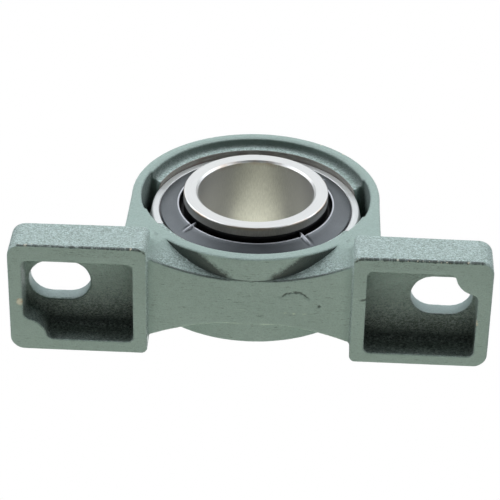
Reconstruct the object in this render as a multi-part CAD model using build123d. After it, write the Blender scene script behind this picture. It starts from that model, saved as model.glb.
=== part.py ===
# Two-bolt pillow block bearing: a cast housing with hollow feet carries a
# self-aligning ball bearing insert with a long, set-screw-locked inner ring.
#
# Frame: +Z up, base plane at z = 0, +X along the feet, shaft axis along Y.
# The origin is on the base plane, at the centre of the two bolt slots.
# The loading slots of the seat are on the -Y side, the set screws on the +Y side.
# Everything is modelled about the centre of the spherical seat and moved at the
# end, because the bolt slots sit a little to the front of it.
import os
from math import cos, sin, radians, sqrt

from build123d import *

# ---------------------------------------------------------------- housing
LENGTH = 219.0          # overall length along X
SHAFT_H = 63.5          # base plane to shaft centre
FOOT_HALF_W = 28.35     # half width of a foot along Y
FOOT_IN_X = 46.4        # inner end of a foot
FOOT_T = 20.9           # thickness of a foot at its inner end
FOOT_T_OUT = 20.1       # thickness at its outer end
FOOT_R_OUT = 6.5        # plan corner radius, outer end
FOOT_R_IN = 2.6         # plan corner radius, inner end
RING_R = 58.6           # outside radius of the ring
RING_HALF_W = 22.35     # half width of the ring at the underside, front
RING_HALF_W_REAR = 23.0 # and rear
RING_HALF_W_TOP = 21.5  # half width at the crown: the faces have a slight draft
RING_EDGE_R = 0.7       # rounded rim edge
FLANK_X = 59.3          # drafted flanks below the ring, at the underside
FLANK_X_TOP = 58.5      # and at the height of the shaft
WEB_Z = 4.7             # underside between the feet, above the base plane
WAIST_FRONT = (119.2, 108.8)    # vertical axis of the cone that hollows the web's front face,
                                # and its radius at the underside
WAIST_REAR = (135.0, 123.0)     # the same for its rear face
WAIST_LEAN = 0.115      # how fast that radius falls with height
FLANK_FILLET = 7.0      # fillet between the flank and the foot's top
WEB_FILLET = 3.0        # fillet between the web's rear face and the foot

SEAT_R = 51.1           # spherical seat
RECESS_R = 53.1         # counterbore in front of the shoulder
SHOULDER_Y = 17.8       # face of the shoulder
SLOT_R = 54.0           # outer radius of the two loading slots
SLOT_FLARE = ((44.0, 12.5), (47.1, 14.1), (49.2, 17.0), (56.0, 17.6))  # half outline of a
                        # loading slot: distance from the shaft axis along X, half height
GREASE_GROOVE_R = 52.3  # annular lubrication groove in the seat
GREASE_GROOVE_Y = (-2.0, 9.0)

POCKET_IN_X, POCKET_OUT_X = 52.9, 103.1
POCKET_REAR_L = 22.1    # rear wall inside, -X foot
POCKET_REAR_R = 22.7    # rear wall inside, +X foot
POCKET_FRONT_L = 19.7   # front wall inside, -X foot
POCKET_FRONT_R = 21.3   # front wall inside, +X foot
POCKET_ROOF_L, POCKET_ROOF_R = 12.5, 11.8
POCKET_R = 2.6
PAD_R = 10.7            # solid corner pad for a dowel pin
PAD_BLEND = 3.2

BOLT_X = 87.5           # slot centre
BOLT_R = 10.0           # half width of the bolt slot
BOLT_SLOT_L = 28.2      # end to end along X
BOLT_Y = -2.2           # slot centres, from the centre of the spherical seat

# ---------------------------------------------------------------- insert
SHAFT_R = 27.5          # bore
OUTER_SPHERE_R = 51.0
OUTER_HALF_C = 14.0
OUTER_CH = 0.35         # chamfer on the rims of its two faces
OUTER_FACE_BORE_R = 45.7
OUTER_LAND_R = 43.0
SEAL_STEP_Y = 11.6
INNER_R = 34.2
INNER_FRONT_Y = -23.7
INNER_REAR_Y = 31.9
INNER_CH = 0.9
BALL_D = 14.288
BALL_N = 10
PITCH_R = 38.75
GROOVE_R = 7.43
RACE_GAP = 0.03

FLINGER_T = 0.8
FLINGER_OUT_R = 45.1
FLINGER_LIP_R = 36.2
CRIMP_ANGLES = (-51.0, 39.0, 129.0, 219.0)   # 0 is +X, 90 is +Z, in the front view
CRIMP_W = 1.7

CAGE_IN_R, CAGE_OUT_R = 36.6, 41.0
CAGE_T = 1.0
POCKET_BALL_R = 7.32

SCREW_R = 4.9
SCREW_HOLE_R = 5.0
SCREW_Y = 22.8
SCREW_L = 9.8
SCREW_TIP_R = 27.8
SCREW_ANGLES = (30.0, 150.0)

C = (0, 0, SHAFT_H)
BIG = 400.0


def at_centre(shape):
    return Pos(*C) * shape


def ycyl(r, y0, y1):
    """Cylinder along Y about the shaft axis, from y0 to y1."""
    return Pos(0, (y0 + y1) / 2, SHAFT_H) * (Rot(90, 0, 0) * Cylinder(r, abs(y1 - y0)))


def turned(points):
    """Solid of revolution about the shaft axis from (radius, y) points."""
    face = make_face(Polyline(*[(r, y, 0) for r, y in points], close=True))
    return at_centre(revolve(face, Axis.Y, 360))


def box(x0, x1, y0, y1, z0, z1):
    return Pos((x0 + x1) / 2, (y0 + y1) / 2, (z0 + z1) / 2) * Box(
        abs(x1 - x0), abs(y1 - y0), abs(z1 - z0)
    )


def one(shape):
    """A single Solid out of whatever a boolean gave."""
    s = shape.solids()
    assert len(s) == 1, f"{len(s)} solids"
    return s[0]


def radial(angle, r, y):
    """Location on the shaft's radius at this angle, its Z axis pointing outwards."""
    a = radians(angle)
    return Plane(
        origin=(r * cos(a), y, SHAFT_H + r * sin(a)),
        x_dir=(0, 1, 0),
        z_dir=(cos(a), 0, sin(a)),
    ).location


# ================================================================ housing
def foot(side):
    x0, x1 = FOOT_IN_X, LENGTH / 2
    outline = [(x0, 0), (x1, 0), (x1, FOOT_T_OUT), (x0, FOOT_T)]
    body = extrude(make_face(Polyline(*[(x, FOOT_HALF_W, z) for x, z in outline], close=True)),
                   2 * FOOT_HALF_W, dir=(0, -1, 0))
    verticals = body.edges().filter_by(Axis.Z)
    outer = [e for e in verticals if e.center().X > (x0 + x1) / 2]
    body = fillet(outer, FOOT_R_OUT)
    verticals = body.edges().filter_by(Axis.Z)
    inner = [e for e in verticals if abs(e.center().X - x0) < 0.01]
    body = fillet(inner, FOOT_R_IN)
    top = body.faces().sort_by(Axis.Z)[-1]
    body = fillet(top.edges(), 1.6)
    bottom = body.faces().sort_by(Axis.Z)[0]
    body = fillet(bottom.edges(), 0.5)
    if side < 0:
        body = mirror(body, Plane.YZ)
    return body


def pocket(side):
    front = POCKET_FRONT_L if side < 0 else POCKET_FRONT_R
    x0, x1 = POCKET_IN_X, POCKET_OUT_X
    y0, y1 = -front, (POCKET_REAR_L if side < 0 else POCKET_REAR_R)
    roof_z = POCKET_ROOF_L if side < 0 else POCKET_ROOF_R
    # corner pad: outer end, rear on the -X foot, front on the +X foot
    cx, cy = x1, (y1 if side < 0 else y0)
    with BuildSketch(Plane.XY.offset(-1)) as sk:
        with Locations(((x0 + x1) / 2, (y0 + y1) / 2)):
            Rectangle(x1 - x0, y1 - y0)
        with Locations((cx, cy)):
            Circle(PAD_R, mode=Mode.SUBTRACT)
        verts = sk.vertices()
        pad_v = [
            v
            for v in verts
            if abs((Vector(v.X, v.Y) - Vector(cx, cy)).length - PAD_R) < 0.05
        ]
        fillet(pad_v, PAD_BLEND)
        corner_v = [
            v
            for v in sk.vertices()
            if (abs(v.X - x0) < 0.01 or abs(v.X - x1) < 0.01)
            and (abs(v.Y - y0) < 0.01 or abs(v.Y - y1) < 0.01)
        ]
        fillet(corner_v, POCKET_R)
    tool = extrude(sk.sketch, roof_z + 1)
    roof = tool.faces().sort_by(Axis.Z)[-1]
    tool = fillet(roof.edges(), 1.2)
    if side < 0:
        tool = mirror(tool, Plane.YZ)
    slot = Pos(side * BOLT_X, BOLT_Y, 0) * extrude(
        Plane.XY.offset(roof_z - 2) * SlotOverall(BOLT_SLOT_L, 2 * BOLT_R),
        FOOT_T - roof_z + 6,
    )
    return tool + slot


def waist_cutter(side):
    axis_y, radius = WAIST_FRONT if side < 0 else WAIST_REAR
    z0, z1 = -2.0, 70.0
    r0 = radius + WAIST_LEAN * (WEB_Z - z0)
    r1 = radius - WAIST_LEAN * (z1 - WEB_Z)
    return Pos(0, side * axis_y, (z0 + z1) / 2) * Cone(r0, r1, z1 - z0)


def half_width(z, low=RING_HALF_W):
    """Half width of the ring and web at this height."""
    z0, z1 = WEB_Z, SHAFT_H + RING_R
    return low + (RING_HALF_W_TOP - low) * (z - z0) / (z1 - z0)


za, zb = -5.0, SHAFT_H + RING_R + 10
wedge = extrude(
    make_face(Polyline((-80, -half_width(za), za), (-80, half_width(za, RING_HALF_W_REAR), za),
                       (-80, half_width(zb, RING_HALF_W_REAR), zb), (-80, -half_width(zb), zb), close=True)),
    160, dir=(1, 0, 0))

ring = ycyl(RING_R, -RING_HALF_W - 2, RING_HALF_W + 2) & wedge
rims = [e for e in ring.edges() if e.geom_type != GeomType.LINE]
ring = fillet(rims, RING_EDGE_R)

web = extrude(
    make_face(Polyline((-FLANK_X, 30, WEB_Z), (FLANK_X, 30, WEB_Z),
                       (FLANK_X_TOP, 30, SHAFT_H), (-FLANK_X_TOP, 30, SHAFT_H), close=True)),
    60, dir=(0, -1, 0)) & wedge
uprights = [e for e in web.edges() if abs(e.center().X) > 50 and abs(e.center().Y) > 20
            and 15 < e.center().Z < 50]
web = fillet(uprights, RING_EDGE_R)
web -= waist_cutter(-1)
web -= waist_cutter(1)

# fillet between each flank and the top of its foot
flank = Part()
fillet_x = 58.92        # just inside the flank, so that the fillet runs into it
for s in (-1, 1):
    b = box(s * (fillet_x - 1), s * (fillet_x + FLANK_FILLET), -RING_HALF_W + 0.9, RING_HALF_W - 0.9,
            FOOT_T - 2, FOOT_T + FLANK_FILLET - 0.15)
    b -= Pos(s * (fillet_x + FLANK_FILLET), 0, FOOT_T + FLANK_FILLET - 0.15) * (
        Rot(90, 0, 0) * Cylinder(FLANK_FILLET, 80)
    )
    flank += b

# fillet between the web's rear face and each foot
for s in (-1, 1):
    cy = WAIST_REAR[0] - (WAIST_REAR[1] ** 2 - (FOOT_IN_X - WEB_FILLET) ** 2) ** 0.5 + WEB_FILLET
    b = box(s * (FOOT_IN_X - WEB_FILLET), s * (FOOT_IN_X + 1), cy - WEB_FILLET - 2, cy, WEB_Z, FOOT_T - 1.8)
    b -= Pos(s * (FOOT_IN_X - WEB_FILLET), cy, FOOT_T / 2) * Cylinder(WEB_FILLET, 40)
    flank += b

boss = Pos(0, 0, SHAFT_H + RING_R - 3) * Cylinder(7.0, 9.0)
boss = fillet(boss.edges().sort_by(Axis.Z)[-1], 1.0)

body = ring + web + foot(1) + foot(-1) + flank + boss
body -= pocket(1)
body -= pocket(-1)
body -= at_centre(Sphere(SEAT_R))
body -= ycyl(RECESS_R, -RING_HALF_W - 2, -SHOULDER_Y)
body -= ycyl(RECESS_R, SHOULDER_Y, RING_HALF_W + 2)
for s in (-1, 1):
    half = [(s * x, SHAFT_H + dz) for x, dz in SLOT_FLARE]
    outline = half + [(x, 2 * SHAFT_H - z) for x, z in reversed(half)]
    prism = extrude(make_face(Polyline(*[(x, 0, z) for x, z in outline], close=True)), RING_HALF_W + 2,
                    dir=(0, -1, 0))
    body -= prism & ycyl(SLOT_R, -RING_HALF_W - 2, 0)
body -= ycyl(GREASE_GROOVE_R, *GREASE_GROOVE_Y)
NIPPLE_SEAT_Z = SHAFT_H + RING_R + 1.5
NIPPLE_THREAD_R = 3.0
NIPPLE_THREAD_L = 5.5
body -= Pos(0, 0, NIPPLE_SEAT_Z - 3) * Cylinder(NIPPLE_THREAD_R, 6.0)
body -= Pos(0, 0, NIPPLE_SEAT_Z - 7) * Cylinder(1.8, 14.0)
housing = one(body)

# ================================================================ outer ring
step = SEAL_STEP_Y
outer = at_centre(Sphere(OUTER_SPHERE_R)) & ycyl(BIG, -OUTER_HALF_C, OUTER_HALF_C)
outer -= ycyl(OUTER_LAND_R, -20, 20)
outer -= ycyl(OUTER_FACE_BORE_R, -20, -step)
outer -= ycyl(OUTER_FACE_BORE_R, step, 20)
groove_c = PITCH_R + BALL_D / 2 + RACE_GAP - GROOVE_R
outer -= at_centre(revolve(
    Pos(groove_c, 0, 0) * Circle(GROOVE_R), Axis.Y, 360))
for y in (-OUTER_HALF_C, OUTER_HALF_C):
    rims = [e for e in outer.edges().filter_by(GeomType.CIRCLE) if abs(e.center().Y - y) < 0.01]
    outer = chamfer(rims, OUTER_CH)
outer -= Location((0, 8.2, SHAFT_H + 48)) * Cylinder(1.5, 16)
outer_ring = one(outer)

# ================================================================ inner ring
inner = ycyl(INNER_R, INNER_FRONT_Y, INNER_REAR_Y)
inner = fillet(inner.edges().filter_by(GeomType.CIRCLE), 0.8)
bore_tool = turned([
    (0, INNER_FRONT_Y - 1), (SHAFT_R + INNER_CH + 1, INNER_FRONT_Y - 1),
    (SHAFT_R, INNER_FRONT_Y + INNER_CH), (SHAFT_R, INNER_REAR_Y - INNER_CH),
    (SHAFT_R + INNER_CH + 1, INNER_REAR_Y + 1), (0, INNER_REAR_Y + 1),
])
inner -= bore_tool
groove_i = PITCH_R - BALL_D / 2 - RACE_GAP + GROOVE_R
inner -= at_centre(revolve(Pos(groove_i, 0, 0) * Circle(GROOVE_R), Axis.Y, 360))
for a in SCREW_ANGLES:
    inner -= radial(a, 31, SCREW_Y) * Cylinder(SCREW_HOLE_R, 14)
inner_ring = one(inner)


# ================================================================ set screws
def set_screw(angle):
    """Cup-point set screw with a hexagon socket, along the radius."""
    s = Pos(0, 0, SCREW_L / 2) * Cylinder(SCREW_R, SCREW_L)
    s = chamfer(s.edges().filter_by(GeomType.CIRCLE), 0.8)
    s -= extrude(Plane.XY.offset(SCREW_L - 4.5) * RegularPolygon(2.5, 6, major_radius=False), 6)
    s -= Pos(0, 0, 0.5) * Cone(3.4, 0.6, 1.8)
    return one(radial(angle, SCREW_TIP_R, SCREW_Y) * s)


set_screw_a = set_screw(SCREW_ANGLES[0])
set_screw_b = set_screw(SCREW_ANGLES[1])

# ================================================================ balls, cage
pitch_deg = 360.0 / BALL_N
ball_angles = [90 + pitch_deg * k for k in range(BALL_N)]


def on_pitch(angle, r=PITCH_R, y=0.0):
    a = radians(angle)
    return Pos(r * cos(a), y, SHAFT_H + r * sin(a))


balls = [on_pitch(a) * Sphere(BALL_D / 2) for a in ball_angles]

RIVET_R, RIVET_HEAD_R, RIVET_HEAD_T = 1.0, 1.7, 0.7
band = ycyl(CAGE_OUT_R, -12, 12) - ycyl(CAGE_IN_R, -13, 13)
shell = ycyl(CAGE_OUT_R, -CAGE_T, CAGE_T)
for a in ball_angles:
    shell += on_pitch(a) * Sphere(POCKET_BALL_R + CAGE_T)
shell = shell & band
for a in ball_angles:
    shell -= on_pitch(a) * Sphere(POCKET_BALL_R)
rivets = []
for k in range(BALL_N):
    a = ball_angles[k] + pitch_deg / 2
    shank = on_pitch(a) * (Rot(90, 0, 0) * Cylinder(RIVET_R, 2 * CAGE_T))
    shell -= shank
    r = shank
    for s in (-1, 1):
        head = on_pitch(a, y=s * (CAGE_T + RIVET_HEAD_T / 2)) * (
            Rot(90, 0, 0) * Cylinder(RIVET_HEAD_R, RIVET_HEAD_T)
        )
        r += head
    rivets.append(one(r))
cage_front = one(shell & box(-BIG, BIG, -BIG, 0, -BIG, BIG))
cage_rear = one(shell & box(-BIG, BIG, 0, BIG, -BIG, BIG))
cage_rivets = Compound(children=rivets)


# ================================================================ seals
def mirrored(points):
    return [(r, -y) for r, y in points]


# steel core pressed into the outer ring, with a turned-out rim
core_pts = [
    (37.8, -12.4), (44.9, -12.4), (44.9, -13.2), (45.7, -13.2), (45.7, -11.6),
    (37.8, -11.6),
]
# rubber moulded round the core's inner edge, with the lip that rides the inner ring
lip_pts = [
    (39.2, -12.4), (39.2, -12.9), (36.8, -13.1), (34.9, -13.6), (34.3, -13.5),
    (34.3, -13.1), (35.9, -12.2), (36.4, -11.1), (39.2, -11.1), (39.2, -11.6),
    (37.8, -11.6), (37.8, -12.4),
]
seal_front_core = one(turned(core_pts))
seal_rear_core = one(turned(mirrored(core_pts)))
seal_front_lip = one(turned(lip_pts))
seal_rear_lip = one(turned(mirrored(lip_pts)))

# ================================================================ flingers
# thin dished disc: outer edge just inside the outer ring, rolled lip by the inner ring
fl_pts = [
    (FLINGER_OUT_R, -14.35), (37.7, -16.75), (36.9, -17.15), (36.35, -17.1),
    (FLINGER_LIP_R, -16.6), (FLINGER_LIP_R, -15.7), (36.9, -15.7), (37.1, -16.1),
    (37.6, -15.95), (FLINGER_OUT_R, -13.55),
]


def flinger(sign):
    pts = fl_pts if sign < 0 else mirrored(fl_pts)
    f = turned(pts)
    y0, y1 = (-17.0, -15.8) if sign < 0 else (15.8, 17.0)
    annulus = ycyl(37.4, y0, y1) - ycyl(INNER_R, y0 - 1, y1 + 1)
    for a in CRIMP_ANGLES:
        ang = radians(a)
        tab = Location(((36.1) * cos(ang), (y0 + y1) / 2, SHAFT_H + 36.1 * sin(ang)), (0, -a, 0)) * Box(
            4.0, 4.0, CRIMP_W
        )
        f += tab & annulus
    return one(f)


flinger_front = flinger(-1)
flinger_rear = flinger(1)

# ================================================================ grease nipple
z0 = NIPPLE_SEAT_Z
nip = Pos(0, 0, z0 - NIPPLE_THREAD_L / 2) * Cylinder(NIPPLE_THREAD_R, NIPPLE_THREAD_L)
nip += extrude(Plane.XY.offset(z0) * RegularPolygon(3.5, 6, major_radius=False), 3.4)
nip += Pos(0, 0, z0 + 4.9) * Cone(3.1, 2.2, 3.0)
nip += Pos(0, 0, z0 + 7.2) * Cylinder(2.2, 1.6)
nip += Pos(0, 0, z0 + 8.9) * Cone(3.2, 2.3, 2.2)
NIP_BORE_R = 1.6
nip -= Pos(0, 0, z0 + 2.0 - 0.15) * Cylinder(NIP_BORE_R, 2 * (7.3 + 0.15))
nip -= Pos(0, 0, z0 + 9.6) * Cone(0.9, 1.1, 3.0)
nip += Pos(0, 0, z0 - NIPPLE_THREAD_L + 0.4) * (Cylinder(NIP_BORE_R + 0.1, 0.8) - Cylinder(0.7, 2))
grease_nipple = one(nip)
NIP_BALL_R = 1.3
NIP_BALL_Z = z0 + 8.4
nipple_ball = Pos(0, 0, NIP_BALL_Z) * Sphere(NIP_BALL_R)

coil_r, wire_r = 1.15, 0.2
z_lo = z0 - NIPPLE_THREAD_L + 0.8 + wire_r + 0.02
z_hi = NIP_BALL_Z - 1.0
turns = 5
path = Helix(pitch=(z_hi - z_lo) / turns, height=z_hi - z_lo, radius=coil_r)
start = path.position_at(0)
profile = Plane(origin=start, z_dir=path.tangent_at(0)) * Circle(wire_r)
coil = Pos(0, 0, z_lo) * sweep(profile, path=path, is_frenet=True)
nipple_spring = one(coil)

# ================================================================ write
nodes = {
    "housing": housing,
    "outer_ring": outer_ring,
    "inner_ring": inner_ring,
    "cage_front": cage_front,
    "cage_rear": cage_rear,
    "cage_rivets": cage_rivets,
    "seal_front_core": seal_front_core,
    "seal_front_lip": seal_front_lip,
    "seal_rear_core": seal_rear_core,
    "seal_rear_lip": seal_rear_lip,
    "flinger_front": flinger_front,
    "flinger_rear": flinger_rear,
    "set_screw_a": set_screw_a,
    "set_screw_b": set_screw_b,
    "grease_nipple": grease_nipple,
    "nipple_ball": nipple_ball,
    "nipple_spring": nipple_spring,
}
for k, b in enumerate(balls):
    nodes[f"ball_{k + 1:02d}"] = b

os.makedirs("parts", exist_ok=True)
for name, shape in nodes.items():
    export_step(shape.moved(Location((0, -BOLT_Y, 0))), f"parts/{name}.step")
print(len(nodes), "nodes")
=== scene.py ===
import math

import bmesh
import bpy
import numpy as np
from mathutils import Matrix, Vector, noise


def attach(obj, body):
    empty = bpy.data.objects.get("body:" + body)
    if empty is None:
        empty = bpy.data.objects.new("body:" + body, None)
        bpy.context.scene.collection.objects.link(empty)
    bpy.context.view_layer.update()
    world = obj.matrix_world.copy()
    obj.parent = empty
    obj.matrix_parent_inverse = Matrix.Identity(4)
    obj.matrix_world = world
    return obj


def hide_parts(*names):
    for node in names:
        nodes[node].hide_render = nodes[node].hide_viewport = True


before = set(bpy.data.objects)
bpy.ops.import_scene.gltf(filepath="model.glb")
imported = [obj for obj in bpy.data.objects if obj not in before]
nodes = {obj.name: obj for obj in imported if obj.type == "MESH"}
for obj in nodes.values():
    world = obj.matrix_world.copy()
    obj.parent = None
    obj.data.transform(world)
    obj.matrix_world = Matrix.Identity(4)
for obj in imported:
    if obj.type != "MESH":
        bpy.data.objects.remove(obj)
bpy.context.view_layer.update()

# Frame: metres, +Z up, base plane z = 0, shaft axis along Y at this height.
H = 0.0635
MM = 0.001
YO = 2.2      # the spherical seat's centre is this far behind the bolt slots, mm
scene = bpy.context.scene
coll = scene.collection


# ============================================================ camera
# Fitted to the picture: seen from below and in front.
cam_data = bpy.data.cameras.new("camera")
cam = bpy.data.objects.new("camera", cam_data)
coll.objects.link(cam)
FOCAL_PX = 2154.0
CAM_LOC = Vector((29.1893, -543.7689, -809.4027)) * MM
CAM_RIGHT = Vector((0.99875564, -0.01707893, 0.04685598))
CAM_DOWN = Vector((0.03955462, 0.84350097, -0.53566925))
CAM_FWD = Vector((-0.03037441, 0.53685606, 0.8431269))
rot = Matrix((CAM_RIGHT, -CAM_DOWN, -CAM_FWD)).transposed()
cam.matrix_world = Matrix.Translation(CAM_LOC) @ rot.to_4x4()
cam_data.sensor_fit = "HORIZONTAL"
cam_data.sensor_width = 36.0
cam_data.lens = FOCAL_PX / 500.0 * 36.0
cam_data.clip_start = 0.01
cam_data.clip_end = 50.0
scene.camera = cam


# ============================================================ mesh helpers
def new_object(name, mesh):
    ob = bpy.data.objects.new(name, mesh)
    coll.objects.link(ob)
    return ob


def smooth_by_angle(ob, degrees=32.0):
    """Smooth shading with edges over this angle kept sharp."""
    me = ob.data
    bm = bmesh.new()
    bm.from_mesh(me)
    lim = math.radians(degrees)
    for f in bm.faces:
        f.smooth = True
    for e in bm.edges:
        e.smooth = not (len(e.link_faces) == 2 and e.calc_face_angle(0.0) > lim)
    bm.to_mesh(me)
    bm.free()


def rounded(points, radii, steps=4):
    """Closed (r, y) outline with each corner replaced by an arc."""
    out = []
    n = len(points)
    for i in range(n):
        p = Vector(points[i]); a = Vector(points[i - 1]); b = Vector(points[(i + 1) % n])
        rad = radii[i] if isinstance(radii, (list, tuple)) else radii
        u = (a - p); v = (b - p)
        lu, lv = u.length, v.length
        u.normalize(); v.normalize()
        ang = u.angle(v)
        if rad <= 0 or ang > math.radians(178):
            out.append((p.x, p.y))
            continue
        cut = min(rad / math.tan(ang / 2), 0.45 * lu, 0.45 * lv)
        rr = cut * math.tan(ang / 2)
        c = p + (u + v).normalized() * (rr / math.sin(ang / 2))
        s = p + u * cut - c
        e = p + v * cut - c
        a0 = math.atan2(s.y, s.x); a1 = math.atan2(e.y, e.x)
        d = (a1 - a0 + math.pi) % (2 * math.pi) - math.pi
        for k in range(steps + 1):
            t = a0 + d * k / steps
            out.append((c.x + rr * math.cos(t), c.y + rr * math.sin(t)))
    return out


def lathe(name, outline, segs=288, warp=None):
    """Closed ring of revolution about the shaft axis from a closed (r, y) outline in mm.
    warp(r, y, angle, index) may move a point."""
    bm = bmesh.new()
    rings = []
    for i in range(segs):
        a = 2 * math.pi * i / segs
        row = []
        for j, (r, y) in enumerate(outline):
            if warp:
                r, y, aa = warp(r, y, a, j)
            else:
                aa = a
            row.append(bm.verts.new((r * MM * math.cos(aa), (y + YO) * MM, H + r * MM * math.sin(aa))))
        rings.append(row)
    n = len(outline)
    for i in range(segs):
        A, B = rings[i], rings[(i + 1) % segs]
        for j in range(n):
            k = (j + 1) % n
            bm.faces.new((A[j], A[k], B[k], B[j]))
    bmesh.ops.recalc_face_normals(bm, faces=bm.faces)
    me = bpy.data.meshes.new(name)
    bm.to_mesh(me)
    bm.free()
    return new_object(name, me)


# ============================================================ material helpers
class Nodes:
    """Short names for building one node material."""

    def __init__(self, name):
        self.mat = bpy.data.materials.new(name)
        self.mat.use_nodes = True
        self.tree = self.mat.node_tree
        self.tree.nodes.clear()
        self.out = self.add("ShaderNodeOutputMaterial")
        self.bsdf = self.add("ShaderNodeBsdfPrincipled")
        self.tree.links.new(self.bsdf.outputs[0], self.out.inputs["Surface"])
        # object coordinates, measured from under the seat's centre
        off = self.add("ShaderNodeVectorMath", operation="SUBTRACT")
        self.tree.links.new(self.add("ShaderNodeTexCoord").outputs["Object"], off.inputs[0])
        off.inputs[1].default_value = (0.0, YO * MM, 0.0)
        self.co = off.outputs[0]

    def add(self, kind, **kw):
        n = self.tree.nodes.new(kind)
        for k, v in kw.items():
            setattr(n, k, v)
        return n

    def link(self, a, b):
        self.tree.links.new(a, b)

    def put(self, socket, value):
        if isinstance(value, bpy.types.NodeSocket):
            self.link(value, socket)
        else:
            socket.default_value = value

    def math(self, op, a, b=None, c=None, clamp=False):
        n = self.add("ShaderNodeMath", operation=op, use_clamp=clamp)
        self.put(n.inputs[0], a)
        if b is not None:
            self.put(n.inputs[1], b)
        if c is not None:
            self.put(n.inputs[2], c)
        return n.outputs[0]

    def noise(self, scale, detail=4.0, rough=0.55, vec=None, distortion=0.0, dims="3D"):
        n = self.add("ShaderNodeTexNoise", noise_dimensions=dims)
        self.put(n.inputs["Vector"], vec if vec is not None else self.co)
        n.inputs["Scale"].default_value = scale
        n.inputs["Detail"].default_value = detail
        n.inputs["Roughness"].default_value = rough
        n.inputs["Distortion"].default_value = distortion
        return n.outputs["Fac"]

    def voronoi(self, scale, vec=None, feature="F1", rand=1.0):
        n = self.add("ShaderNodeTexVoronoi", feature=feature)
        self.put(n.inputs["Vector"], vec if vec is not None else self.co)
        n.inputs["Scale"].default_value = scale
        n.inputs["Randomness"].default_value = rand
        return n.outputs["Distance"]

    def ramp(self, fac, stops, interp="LINEAR"):
        n = self.add("ShaderNodeValToRGB")
        n.color_ramp.interpolation = interp
        els = n.color_ramp.elements
        while len(els) < len(stops):
            els.new(0.5)
        for e, (p, c) in zip(els, stops):
            e.position = p
            e.color = (*c, 1.0) if len(c) == 3 else c
        self.put(n.inputs["Fac"], fac)
        return n.outputs["Color"]

    def range(self, v, a, b, c=0.0, d=1.0, smooth=False):
        n = self.add("ShaderNodeMapRange", interpolation_type="SMOOTHSTEP" if smooth else "LINEAR")
        self.put(n.inputs["Value"], v)
        n.inputs["From Min"].default_value = a
        n.inputs["From Max"].default_value = b
        n.inputs["To Min"].default_value = c
        n.inputs["To Max"].default_value = d
        return n.outputs["Result"]

    def mix(self, fac, a, b, blend="MIX"):
        n = self.add("ShaderNodeMix", data_type="RGBA", blend_type=blend)
        self.put(n.inputs["Factor"], fac)
        self.put(n.inputs[6], (*a, 1.0) if isinstance(a, tuple) and len(a) == 3 else a)
        self.put(n.inputs[7], (*b, 1.0) if isinstance(b, tuple) and len(b) == 3 else b)
        return n.outputs[2]

    def attr(self, name):
        return self.add("ShaderNodeAttribute", attribute_name=name).outputs["Fac"]

    def xyz(self):
        s = self.add("ShaderNodeSeparateXYZ")
        self.link(self.co, s.inputs[0])
        return s.outputs

    def polar(self):
        """(radius from the shaft axis, angle, y) in metres and radians."""
        x, y, z = self.xyz()
        dz = self.math("SUBTRACT", z, H)
        r = self.math("SQRT", self.math("ADD", self.math("MULTIPLY", x, x), self.math("MULTIPLY", dz, dz)))
        return r, self.math("ARCTAN2", dz, x), y

    def vec(self, x, y, z):
        n = self.add("ShaderNodeCombineXYZ")
        self.put(n.inputs[0], x); self.put(n.inputs[1], y); self.put(n.inputs[2], z)
        return n.outputs[0]

    def bump(self, height, distance, strength=1.0, normal=None):
        n = self.add("ShaderNodeBump")
        n.inputs["Strength"].default_value = strength
        n.inputs["Distance"].default_value = distance
        self.put(n.inputs["Height"], height)
        if normal is not None:
            self.link(normal, n.inputs["Normal"])
        return n.outputs["Normal"]

    def set(self, **kw):
        for k, v in kw.items():
            self.put(self.bsdf.inputs[k.replace("_", " ")], v)


def give(ob, mat):
    while len(ob.data.materials):
        ob.data.materials.pop()
    ob.data.materials.append(mat)


def give_node(name, mat):
    """Material on a carried-over CAD node, through its object's slots."""
    ob = nodes[name]
    if not ob.material_slots:
        ob.data.materials.append(None)
    for s in ob.material_slots:
        s.link = "OBJECT"
        s.material = mat


# ============================================================ materials
CRIMPS = (-51.0, 39.0, 129.0, 219.0)     # angles of the flingers' pinched creases
CHIPS = [  # x, y, z, radius of bare spots on the casting's edges, in mm
    (-100.8, -27.6, 0.8, 1.0), (-53.5, -28.0, 0.6, 0.7), (-104.3, 2.2, 0.1, 2.2), (-102.7, 2.4, 0.1, 0.9),
    (103.1, 4.4, 0.2, 1.3), (103.0, 2.9, 0.2, 0.8), (97.5, -28.0, 0.5, 0.6), (66.0, -28.0, 0.7, 0.6), (60.5, -28.0, 20.9, 0.8),
    (75.0, -28.1, 0.4, 0.5), (-98.0, -28.1, 1.6, 0.5), (88.0, -28.0, 0.2, 0.5),
    (41.0, -21.6, 104.5, 0.7), (52.0, -21.8, 47.0, 0.4), (30.0, -21.6, 113.0, 0.5),
]


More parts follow.
